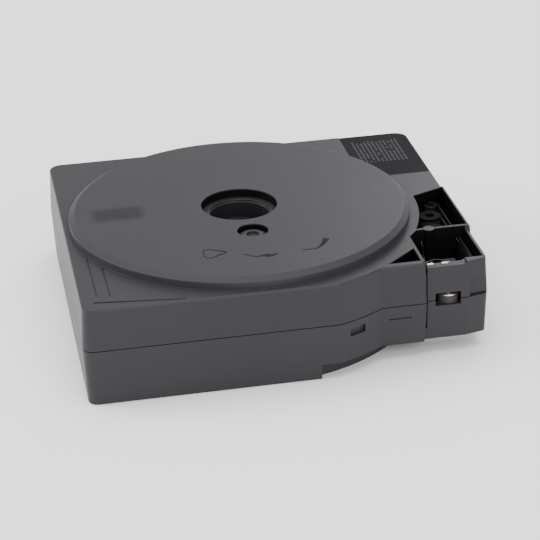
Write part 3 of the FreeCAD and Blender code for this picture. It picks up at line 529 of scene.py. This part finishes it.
def solid_from_grid(name: str, grid: np.ndarray, wrap_rows: bool,
                    crease_deg: float = 35.0) -> bpy.types.Object:
    """A closed mesh piece from a grid of points whose last column joins its first.

    Args:
        name: the piece's name.
        grid: rows by columns by three, metres.
        wrap_rows: join the last row to the first; otherwise both end rows are filled.
        crease_deg: edges sharper than this stay sharp.

    Returns:
        The piece, with faces outwards.
    """
    rows, columns = grid.shape[:2]
    index = np.arange(rows * columns).reshape(rows, columns)
    down = index if wrap_rows else index[:-1]
    below = np.roll(index, -1, axis=0) if wrap_rows else index[1:]
    right, below_right = np.roll(down, -1, axis=1), np.roll(below, -1, axis=1)
    faces = np.stack([down, right, below_right, below], axis=-1).reshape(-1, 4).tolist()
    if not wrap_rows:
        faces += [index[0, ::-1].tolist(), index[-1].tolist()]
    return finished_mesh(name, grid.reshape(-1, 3), faces, crease_deg)


def finished_mesh(name: str, points: np.ndarray, faces: list[list[int]],
                  crease_deg: float = 35.0) -> bpy.types.Object:
    """Link a mesh piece with smooth shading, sharp creases and outward faces."""
    mesh = bpy.data.meshes.new(name)
    mesh.from_pydata(points.tolist(), [], faces)
    mesh.update()
    mesh.calc_loop_triangles()
    corners = np.empty(len(mesh.loop_triangles) * 3, np.int32)
    mesh.loop_triangles.foreach_get("vertices", corners)
    one, two, three = (points[corners.reshape(-1, 3)[:, side]] for side in range(3))
    if float(np.einsum("ij,ij->i", one, np.cross(two, three)).sum()) < 0.0:
        mesh.flip_normals()
    mesh.polygons.foreach_set("use_smooth", np.ones(len(mesh.polygons), bool))
    mesh.set_sharp_from_angle(angle=math.radians(crease_deg))
    piece = bpy.data.objects.new(name, mesh)
    bpy.context.scene.collection.objects.link(piece)
    return piece


def turned(name: str, profile: np.ndarray, centre: tuple[float, float],
           steps: int = 96) -> bpy.types.Object:
    """A turned ring: a closed profile of radius and height carried round an upright axis.

    Args:
        name: the piece's name.
        profile: points of radius and height in millimetres, closed by itself.
        centre: the axis, millimetres from the hub.
        steps: points round the axis.

    Returns:
        The piece.
    """
    turn = np.linspace(0.0, 2.0 * np.pi, steps, endpoint=False)[:, None]
    radius, height = profile[None, :, 0], profile[None, :, 1]
    grid = np.stack([centre[0] + radius * np.cos(turn), centre[1] + radius * np.sin(turn),
                     np.broadcast_to(height, (steps, profile.shape[0]))], axis=-1)
    return solid_from_grid(name, Hub.points(grid), True)


def rounded_ring(inner: float, outer: float, low: float, high: float, soft: float,
                 steps: int = 6) -> np.ndarray:
    """A ring's profile with outer corners rounded by quarter circles of radius soft."""
    turn = np.linspace(0.0, np.pi / 2.0, steps)
    bottom = np.stack([outer - soft + soft * np.sin(turn), low + soft - soft * np.cos(turn)], axis=-1)
    top = np.stack([outer - soft + soft * np.cos(turn), high - soft + soft * np.sin(turn)], axis=-1)
    return np.vstack([[[inner, low]], bottom, top, [[inner, high]]])


def swept(name: str, path: np.ndarray, profile: np.ndarray, swell: Optional[np.ndarray] = None,
          crease_deg: float = 35.0) -> bpy.types.Object:
    """A closed profile carried along an open path.

    Each ring of points is the path's point plus the profile's first number along the sideways direction
    (tangent crossed with +Z) and its second along the direction square to both.

    Args:
        name: the piece's name.
        path: points, millimetres from the hub.
        profile: points of sideways and upward offset, millimetres.
        swell: how much wider the profile is at each point, all ones if left out.
        crease_deg: edges sharper than this stay sharp.

    Returns:
        The piece.
    """
    tangent = np.gradient(path, axis=0)
    tangent /= np.linalg.norm(tangent, axis=1, keepdims=True)
    sideways = np.cross(tangent, np.array([0.0, 0.0, 1.0]))
    sideways /= np.linalg.norm(sideways, axis=1, keepdims=True)
    over = np.cross(sideways, tangent)
    wide = np.ones(len(path)) if swell is None else swell
    grid = (path[:, None] + profile[None, :, :1] * (sideways * wide[:, None])[:, None]
            + profile[None, :, 1:] * over[:, None])
    return solid_from_grid(name, Hub.points(grid), False, crease_deg)


def oblong(width: float, tall: float) -> np.ndarray:
    """A rectangular profile about its centre."""
    return np.array([[-1, -1], [1, -1], [1, 1], [-1, 1]]) * np.array([width / 2.0, tall / 2.0])


def circle(radius: float, steps: int = 10) -> np.ndarray:
    """A round profile about its centre."""
    turn = np.linspace(0.0, 2.0 * np.pi, steps, endpoint=False)
    return radius * np.stack([np.cos(turn), np.sin(turn)], axis=-1)


def bars(name: str, centres: np.ndarray, sizes: np.ndarray) -> bpy.types.Object:
    """Many small closed blocks in one piece.

    Args:
        name: the piece's name.
        centres: block centres, millimetres from the hub.
        sizes: block sizes along X, Y and Z, millimetres.

    Returns:
        The piece.
    """
    corner = np.array([[x, y, z] for z in (-0.5, 0.5) for y in (-0.5, 0.5) for x in (-0.5, 0.5)])
    points = centres[:, None] + corner[None] * sizes[:, None]
    block = np.array([[0, 2, 3, 1], [4, 5, 7, 6], [0, 1, 5, 4],
                      [2, 6, 7, 3], [0, 4, 6, 2], [1, 3, 7, 5]])
    faces = (block[None] + 8 * np.arange(len(centres))[:, None, None]).reshape(-1, 4)
    return finished_mesh(name, Hub.points(points.reshape(-1, 3)), faces.tolist(), SHARP_CREASE)


class Body(Enum):
    """The bodies that pieces ride on."""

    CASE = "case"
    ROLL = "roll"
    FEED = "feed_roller"


def settle(piece: bpy.types.Object, body: Body, slot: str, finish: Finish, *stands_for: str) -> None:
    """Dress a new piece, let it ride and hide the solids that it stands for."""
    finish.dress(piece)
    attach(piece, body.value)
    if stands_for:
        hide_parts(*stands_for)
    log.info("%s: %d faces on %s", piece.name, len(piece.data.polygons), body.value)


def spot(node: str) -> tuple[float, float, float, float]:
    """A turned node's axis and heights: x and y from the hub, low and high, millimetres."""
    low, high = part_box(node)
    return (((low.x + high.x) / 2 - Hub.x) / MM, ((low.y + high.y) / 2 - Hub.y) / MM,
            low.z / MM, high.z / MM)


# ---------------------------------------------------------------- the finishes used
CASE = MouldedPlastic("case_upper", (0.0265, 0.0265, 0.0300), roughness=0.38, gloss=0.15,
                      edge_wear_and_highlight=0.42, case=True)
# the lower shell is the same plastic as the upper, painted a little lighter for the light it catches from
# the white floor
CASE_LOWER_FLOOR_LIT = MouldedPlastic("case_lower_floor_lit", (0.0280, 0.0280, 0.0308), roughness=0.38, gloss=0.15,
                            edge_wear_and_highlight=0.42, case=True)
CORE = MouldedPlastic("core_black", (0.016, 0.016, 0.018), roughness=0.36, grain_mm=0.25, edge_wear_and_highlight=0.6)
PIN = MouldedPlastic("pin_grey", (0.028, 0.028, 0.031), roughness=0.40, grain_mm=0.2, edge_mm=0.12,
                     gloss=0.20)
# the spool cores' grey plastic is painted near black, as painted shade for the dark depth of the ribbon bay
SPOOL_SHADE_DARKENED = MouldedPlastic("spool_painted_shade", (0.0035, 0.0035, 0.0042), roughness=0.6, grain_mm=0.2, edge_mm=0.12,
                       gloss=0.05)
ACETAL = MouldedPlastic("acetal_black", (0.012, 0.012, 0.013), roughness=0.28, grain_mm=0.5,
                        grain_depth_mm=0.004, edge_mm=0.1)
PANEL = MouldedPlastic("panel_film", (0.0095, 0.0095, 0.011), roughness=0.62, grain_mm=0.18,
                       grain_depth_mm=0.006, edge_mm=0.05, gloss=0.05)
PRINT = MouldedPlastic("panel_print", (0.046, 0.046, 0.049), roughness=0.62, grain_mm=0.12,
                       grain_depth_mm=0.004, edge_mm=0.03, gloss=0.05)
STROKE = MouldedPlastic("sunk_stroke", (0.013, 0.013, 0.015), roughness=0.66, grain_mm=0.15,
                        grain_depth_mm=0.004, edge_mm=0.03, gloss=0.06)
RUBBER = Rubber("roller_rubber", (0.032, 0.023, 0.022), (0.066, 0.050, 0.047))
GROUND = Steel("ground_steel", (0.30, 0.295, 0.29), roughness=0.34)
BLACKED = Steel("blacked_steel", (0.045, 0.044, 0.043), roughness=0.42)
BRIGHT = Steel("bright_washer", (0.90, 0.87, 0.83), roughness=0.34, grain=(1.0, 0.05, 1.0))
SPRING = Steel("spring_strip", (0.86, 0.85, 0.83), roughness=0.30, grain=(0.05, 1.0, 1.0))


# ---------------------------------------------------------------- sub-assemblies
@dataclass
class Shells:
    """The two case shells, the sunk panel with its print, and the strokes on the roll disc."""

    panel_left: float = 32.1
    panel_front: float = 13.65
    panel_arc: float = 41.0
    panel_margin: float = 0.25
    panel_thick: float = 0.08
    print_left: float = 34.2
    print_right: float = 46.0
    print_front: float = 22.4
    print_back: float = 36.6
    print_columns: int = 12
    print_thick: float = 0.05
    stroke_width: float = 0.42
    stroke_thick: float = 0.03
    disc_top: float = field(default_factory=lambda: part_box("upper_case")[1].z / MM)
    disc_rise: float = 2.6
    mark_depth: float = 0.28
    panel_right: float = 48.8
    panel_back: float = 39.85
    panel_round: float = 2.75
    print_rows: int = 13
    dash_share: float = 0.52
    gates: tuple[tuple[float, float], ...] = ((-33.93, 22.75), (-36.43, 17.65))
    gate_sunk: float = 0.02
    gate_section: tuple[tuple[float, float], ...] = (
        (0.12, 0.0), (0.36, 0.0), (0.36, 0.06), (0.30, 0.10), (0.20, 0.10), (0.12, 0.05))
    drop_place: tuple[float, float] = (-10.0, -24.6)
    wave_place: tuple[float, float] = (-3.6, -26.6)
    hook_place: tuple[float, float] = (9.2, -27.6)
    wave_run: float = 7.4
    hook_run: float = 6.3

    def build(self) -> None:
        """Dress the shells and lay the panel, its print and the strokes."""
        CASE.dress(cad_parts["upper_case"])
        CASE_LOWER_FLOOR_LIT.dress(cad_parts["lower_case"])
        settle(self.panel(), Body.CASE, "case_plastic", PANEL)
        settle(self.print_dashes(), Body.CASE, "case_plastic", PRINT)
        for name, (path, swell) in self.stroke_paths().items():
            piece = swept(name, path, oblong(self.stroke_width, self.stroke_thick), swell)
            settle(piece, Body.CASE, "case_plastic", STROKE)
        for index, (across, along) in enumerate(self.gates):
            gate = turned(f"gate_mark_{index}", self.gate_profile(), (across, along), 24)
            settle(gate, Body.CASE, "case_plastic", CASE)

    def panel(self) -> bpy.types.Object:
        """The panel film.

        Its front edge is the larger of the panel's front line and the circle about the hub; each column of
        the grid runs from there to the back edge, which turns down a quarter circle at the case's corner.
        The sheet has a lower and an upper skin.
        """
        across = np.linspace(self.panel_left + self.panel_margin, self.panel_right, 60)
        arc = np.sqrt(np.maximum((self.panel_arc + self.panel_margin) ** 2 - across ** 2, 0.0))
        front = np.maximum(arc, self.panel_front + self.panel_margin)
        low = self.disc_top - self.disc_rise - self.mark_depth
        high = low + self.panel_thick
        past = np.maximum(across - (self.panel_right - self.panel_round), 0.0)
        back = self.panel_back - self.panel_round + np.sqrt(self.panel_round ** 2 - past ** 2)
        ring = [(front, low), (back, low), (back, high), (front, high)]
        grid = np.stack([np.stack([across, along, np.full_like(across, height)], axis=-1)
                         for along, height in ring], axis=1)
        return solid_from_grid("panel_film", Hub.points(grid), False, SHARP_CREASE)

    def print_dashes(self) -> bpy.types.Object:
        """Generic print: columns of dashes whose lengths and gaps come from a seeded draw."""
        draw = np.random.default_rng(7)
        shape = (self.print_columns, self.print_rows)
        pitch = (self.print_right - self.print_left) / self.print_columns
        length = draw.uniform(0.35, 1.25, shape)
        gap = draw.uniform(0.18, 0.34, shape)
        start = self.print_front + np.cumsum(length + gap, axis=1) - length
        column = self.print_left + pitch * (np.arange(self.print_columns) + 0.5)
        x = np.broadcast_to(column[:, None], length.shape)
        keep = (start + length < self.print_back) & (draw.random(length.shape) > 0.08)
        panel_top = self.disc_top - self.disc_rise - self.mark_depth + self.panel_thick
        height = panel_top + self.print_thick / 2
        centres = np.stack([x, start + length / 2, np.full_like(length, height)], axis=-1)[keep]
        sizes = np.stack([np.full_like(length, pitch * self.dash_share), length,
                          np.full_like(length, self.print_thick)], axis=-1)[keep]
        return bars("panel_dashes", centres, sizes)

    def gate_profile(self) -> np.ndarray:
        """A gate mark's section: a low ring with a pit in the middle, as radius and height."""
        low = self.disc_top - self.disc_rise - self.gate_sunk
        return np.array([[radius, low + rise] for radius, rise in self.gate_section])

    def stroke_paths(self) -> dict[str, tuple[np.ndarray, np.ndarray]]:
        """Plain strokes on the disc, each a path with its swell, as smooth curves of one parameter.

        The drop is a circle pulled out to the right, the wave sinks fast and levels out, and the hook
        runs level before it turns back and thickens.
        """
        share = np.linspace(0.0, 1.0, 60)
        turn = 2.0 * np.pi * share
        height = np.full_like(share, self.disc_top + self.stroke_thick / 2)
        drop_x = self.drop_place[0] + 2.45 * np.cos(turn) + 0.32 * np.cos(2 * turn)
        drop_y = (self.drop_place[1] + 1.95 * np.sin(turn) - 0.52 * np.sin(2 * turn)
                  + 0.10 * np.sin(5 * turn))
        drop_swell = 0.75 + 0.25 * np.cos(turn[:-1])
        wave_x = self.wave_place[0] + self.wave_run * share
        wave_y = (self.wave_place[1] - 2.3 * (1.0 - np.exp(-4.0 * share)) + 0.7 * share ** 2
                  + 0.16 * np.sin(14.0 * share))
        wave_hump = np.exp(-((share - 0.70) / 0.20) ** 2)
        wave_swell = 0.7 + 2.4 * wave_hump * (1.0 + 0.25 * np.sin(40.0 * share))
        hook_x = self.hook_place[0] + self.hook_run * share
        hook_y = self.hook_place[1] + 4.6 * np.maximum(share - 0.45, 0.0) ** 1.6 / 0.55 ** 1.6
        hook_swell = 0.8 + 2.6 * np.maximum(share - 0.55, 0.0) / 0.45
        return {
            "stroke_drop": (np.stack([drop_x, drop_y, height], axis=-1)[:-1], drop_swell),
            "stroke_wave": (np.stack([wave_x, wave_y, height], axis=-1), wave_swell),
            "stroke_hook": (np.stack([hook_x, hook_y, height], axis=-1), hook_swell),
        }


@dataclass
class LabelRoll:
    """The stepped core, the wound label stock and the two film discs."""

    turn_mm: float = 0.9

    def build(self) -> None:
        """Dress the core, the roll, the discs and the label strip."""
        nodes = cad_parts
        CORE.dress(nodes["label_core"])
        WoundSheet("label_wound", (0.022, 0.022, 0.024), (0.075, 0.070, 0.058), (Hub.x, Hub.y),
                   self.turn_mm).dress(nodes["label_roll"])
        film = ClearFilm("spacer_film", (0.50, 0.51, 0.53))
        film.dress(nodes["spacer_disc_lower"], nodes["spacer_disc_upper"])
        StripSheet("label_face", (0.009, 0.009, 0.010)).dress(nodes["label_strip"])


@dataclass
class BrakePin:
    """The dimpled brake pin and its small coil spring."""

    wire: float = 0.13
    turns: float = 1.6
    headroom: float = 0.36
    side_gap: float = 0.02
    end_turn: float = 0.12

    def build(self) -> None:
        """Dress the pin and wind the spring in the place of its stand-in."""
        PIN.dress(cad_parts["core_brake_pin"])
        settle(self.spring(), Body.CASE, "spring_steel", SPRING, "core_brake_spring")

    def spring(self) -> bpy.types.Object:
        """A helix: the angle runs evenly, and the height climbs between flat end turns.

        It is drawn part way down its travel, so that the pressed pin's collar still covers it.
        """
        x, y, low, high = spot("core_brake_spring")
        outer = (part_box("core_brake_spring")[1].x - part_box("core_brake_spring")[0].x) / MM / 2
        reach = outer - self.wire - self.side_gap
        share = np.linspace(0.0, 1.0, 160)
        climb = np.clip((share - self.end_turn) / (1.0 - 2 * self.end_turn), 0.0, 1.0)
        turn = 2.0 * np.pi * self.turns * share
        path = np.stack([x + reach * np.cos(turn), y + reach * np.sin(turn),
                         low + self.wire + (high - low - 2 * self.wire - self.headroom) * climb], axis=-1)
        return swept("brake_coil", path, circle(self.wire))


@dataclass
class RibbonBay:
    """Take-up and supply spools, their washers, the ribbon and its peel post."""

    turn_mm: float = 0.35

    def build(self) -> None:
        """Dress both spools, their washers, the ribbon and the peel post."""
        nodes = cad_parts
        for name in ("ribbon_takeup", "ribbon_supply"):
            x, y, _, _ = spot(f"{name}_roll")
            place = Hub.point(x, y, 0.0)
            SPOOL_SHADE_DARKENED.dress(nodes[f"{name}_core"])
            BLACKED.dress(nodes[f"{name}_washer"])
            WoundSheet(f"{name}_wound", (0.008, 0.008, 0.009), (0.03, 0.03, 0.033),
                       (float(place.x), float(place.y)), self.turn_mm, 0.26).dress(nodes[f"{name}_roll"])
        StripSheet("ribbon_face", (0.004, 0.004, 0.005), 0.14).dress(nodes["ribbon_strip"])
        GROUND.dress(nodes["peel_post"])


@dataclass
class FeedRoller:
    """Steel axle, two rubber sleeves with soft ends and the bright washer seen in the window."""

    soft: float = 0.22
    washer_dish: float = 0.16
    dome_run: float = 0.42
    rim_foot: float = 0.04
    hollow_run: float = 0.10

    def build(self) -> None:
        """Turn the sleeves and the washer in the place of their plain solids."""
        GROUND.dress(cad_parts["feed_roller_axle"])
        axle = (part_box("feed_roller_axle")[1].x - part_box("feed_roller_axle")[0].x) / MM / 2
        for node in ("feed_sleeve_lower", "feed_sleeve_upper"):
            x, y, low, high = spot(node)
            outer = (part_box(node)[1].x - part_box(node)[0].x) / MM / 2
            piece = turned(node.replace("feed_sleeve", "rubber_sleeve"),
                           rounded_ring(axle, outer, low, high, self.soft), (x, y))
            settle(piece, Body.FEED, "roller_rubber", RUBBER, node)
        settle(self.washer(axle), Body.FEED, "steel", BRIGHT, "feed_washer")

    def washer(self, axle: float) -> bpy.types.Object:
        """A domed washer: a rim rounded over its whole height, a shallow hollow towards the axle."""
        x, y, low, high = spot("feed_washer")
        outer = (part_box("feed_washer")[1].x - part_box("feed_washer")[0].x) / MM / 2
        turn = np.linspace(0.0, np.pi / 2.0, 9)
        foot, dish = low + self.rim_foot, high - self.washer_dish
        dome = np.stack([outer - self.dome_run * (1.0 - np.cos(turn)),
                         foot + (high - foot) * np.sin(turn)], axis=-1)
        hollow = np.array([[outer - self.dome_run - self.hollow_run, dish], [axle, dish]])
        return turned("bright_washer", np.vstack([[[axle, low], [outer, low]], dome, hollow]), (x, y))


class Guides:
    """Two acetal guide rollers with their washers, on blacked steel pins."""

    def build(self) -> None:
        """Dress the guide rollers, washers and pins."""
        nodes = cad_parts
        for name in ("rear_guide", "front_guide"):
            ACETAL.dress(nodes[f"{name}_roller"], nodes[f"{name}_washer"])
            BLACKED.dress(nodes[f"{name}_pin"])


@dataclass
class RimClip:
    """The bowed spring clip at the front rim of the well, with its two bright tabs."""

    thick: float = 0.22
    bow: float = 1.65
    tab_width: float = 1.35
    tab_reach: float = 0.5
    tab_inset: float = 0.80
    tab_back: float = 0.5
    tab_flat: float = 0.6
    bend_radius: float = 0.35

    def build(self) -> None:
        """Bend the clip in the place of its plain solid."""
        settle(self.blade(), Body.CASE, "spring_steel", BLACKED, "roller_clip")
        for tab in self.tabs():
            settle(tab, Body.CASE, "spring_steel", SPRING)

    def blade(self) -> bpy.types.Object:
        """One upright strip that bows backwards as half a sine between its two ends."""
        low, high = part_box("roller_clip")
        left, right = (low.x - Hub.x) / MM, (high.x - Hub.x) / MM
        rim, foot = high.z / MM, low.z / MM
        share = np.linspace(0.0, 1.0, 48)
        base = (high.y - Hub.y) / MM - self.bow
        bowed = np.stack([left + (right - left) * share,
                          base + (self.bow - self.thick) * np.sin(np.pi * share),
                          np.full_like(share, (rim + foot - self.thick) / 2)], axis=-1)
        return swept("rim_clip", bowed, oblong(self.thick, rim - foot - self.thick))

    def tabs(self) -> Iterable[bpy.types.Object]:
        """The two folded tabs that catch the light on the rim, each a strip bent over a small radius."""
        low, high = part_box("roller_clip")
        left, right = (low.x - Hub.x) / MM + self.tab_inset, (high.x - Hub.x) / MM - self.tab_inset
        start, rim = (low.y - Hub.y) / MM + self.tab_back, high.z / MM
        share = np.linspace(0.0, 1.0, 24)
        bend = np.pi / 2 * np.clip((share - self.tab_flat) / (1.0 - self.tab_flat), 0.0, 1.0)
        along = (start + self.tab_reach * np.minimum(share / self.tab_flat, 1.0)
                 + self.bend_radius * np.sin(bend))
        height = rim - self.thick / 2 - self.bend_radius * (1.0 - np.cos(bend))
        for index, across in enumerate((left, right)):
            path = np.stack([np.full_like(share, across), along, height], axis=-1)
            yield swept(f"rim_tab_{index}", path, oblong(self.tab_width, self.thick))


@dataclass
class Studio:
    """White floor, soft lights and the camera."""

    yaw_deg: float = 9.979
    pitch_deg: float = 25.939
    roll_deg: float = -1.722
    place: tuple[float, float, float] = (-64.806, -406.686, 208.454)
    lens: float = 131.01
    sensor: float = 36.0
    clip: tuple[float, float] = (0.01, 20.0)
    floor_half: float = 3.0
    room_light: float = 0.90
    lamps: tuple[tuple[str, tuple[float, float, float], float, float], ...] = (
        ("soft_top", (-0.05, 0.10, 0.90), 1.0, 9.5),
        ("soft_left", (-0.95, 0.25, 0.35), 0.8, 11.0),
        ("soft_back", (0.26, 0.44, 0.27), 0.25, 0.50),
        ("soft_front", (0.10, -0.80, 0.35), 0.7, 6.0))

    def build(self) -> None:
        """Put up the floor, the lights, the surroundings and the camera."""
        self.floor()
        self.surroundings()
        for lamp in self.lamps:
            self.light(*lamp)
        self.camera()

    def floor(self) -> None:
        """A wide flat floor at the base plane."""
        half = self.floor_half
        points = [(-half, -half, 0.0), (half, -half, 0.0), (half, half, 0.0), (-half, half, 0.0)]
        mesh = bpy.data.meshes.new("studio_floor")
        mesh.from_pydata(points, [], [[0, 1, 2, 3]])
        floor = bpy.data.objects.new("studio_floor", mesh)
        bpy.context.scene.collection.objects.link(floor)
        PaleFloor().dress(floor)

    def surroundings(self) -> None:
        """White surroundings on every side."""
        world = bpy.data.worlds.new("white_room")
        world.use_nodes = True
        back = world.node_tree.nodes["Background"]
        back.inputs["Color"].default_value = (1.0, 1.0, 1.0, 1.0)
        back.inputs["Strength"].default_value = self.room_light
        bpy.context.scene.world = world

    def light(self, name: str, place: tuple[float, float, float], size: float, power: float) -> None:
        """A square soft light that faces the cassette."""
        data = bpy.data.lights.new(name, "AREA")
        data.size, data.energy = size, power
        lamp = bpy.data.objects.new(name, data)
        lamp.location = place
        lamp.rotation_euler = (-Vector(place)).to_track_quat("-Z", "Y").to_euler()
        bpy.context.scene.collection.objects.link(lamp)

    def camera(self) -> None:
        """A long lens looking down; its axes come from yaw, pitch and roll."""
        yaw, pitch, roll = map(math.radians, (self.yaw_deg, self.pitch_deg, self.roll_deg))
        ahead = Vector((math.sin(yaw) * math.cos(pitch), math.cos(yaw) * math.cos(pitch),
                        -math.sin(pitch)))
        right = Vector((math.cos(yaw), -math.sin(yaw), 0.0))
        above = right.cross(ahead)
        turned_right = right * math.cos(roll) + above * math.sin(roll)
        turned_above = above * math.cos(roll) - right * math.sin(roll)
        axes = Matrix((turned_right, turned_above, -ahead)).transposed().to_4x4()
        data = bpy.data.cameras.new("camera")
        data.lens, data.sensor_width = self.lens, self.sensor
        data.clip_start, data.clip_end = self.clip
        lens = bpy.data.objects.new("camera", data)
        lens.matrix_world = Matrix.Translation(Hub.point(*self.place)) @ axes
        bpy.context.scene.collection.objects.link(lens)
        bpy.context.scene.camera = lens


def main() -> None:
    """Build every sub-assembly in order and note the sizes."""
    logging.basicConfig(level=logging.INFO, format="%(name)s %(message)s")
    parts = (Shells(), LabelRoll(), BrakePin(), RibbonBay(), FeedRoller(), Guides(), RimClip(), Studio())
    for part in parts:
        part.build()
        log.info("built %s", type(part).__name__)


if __name__ == "__main__":
    main()
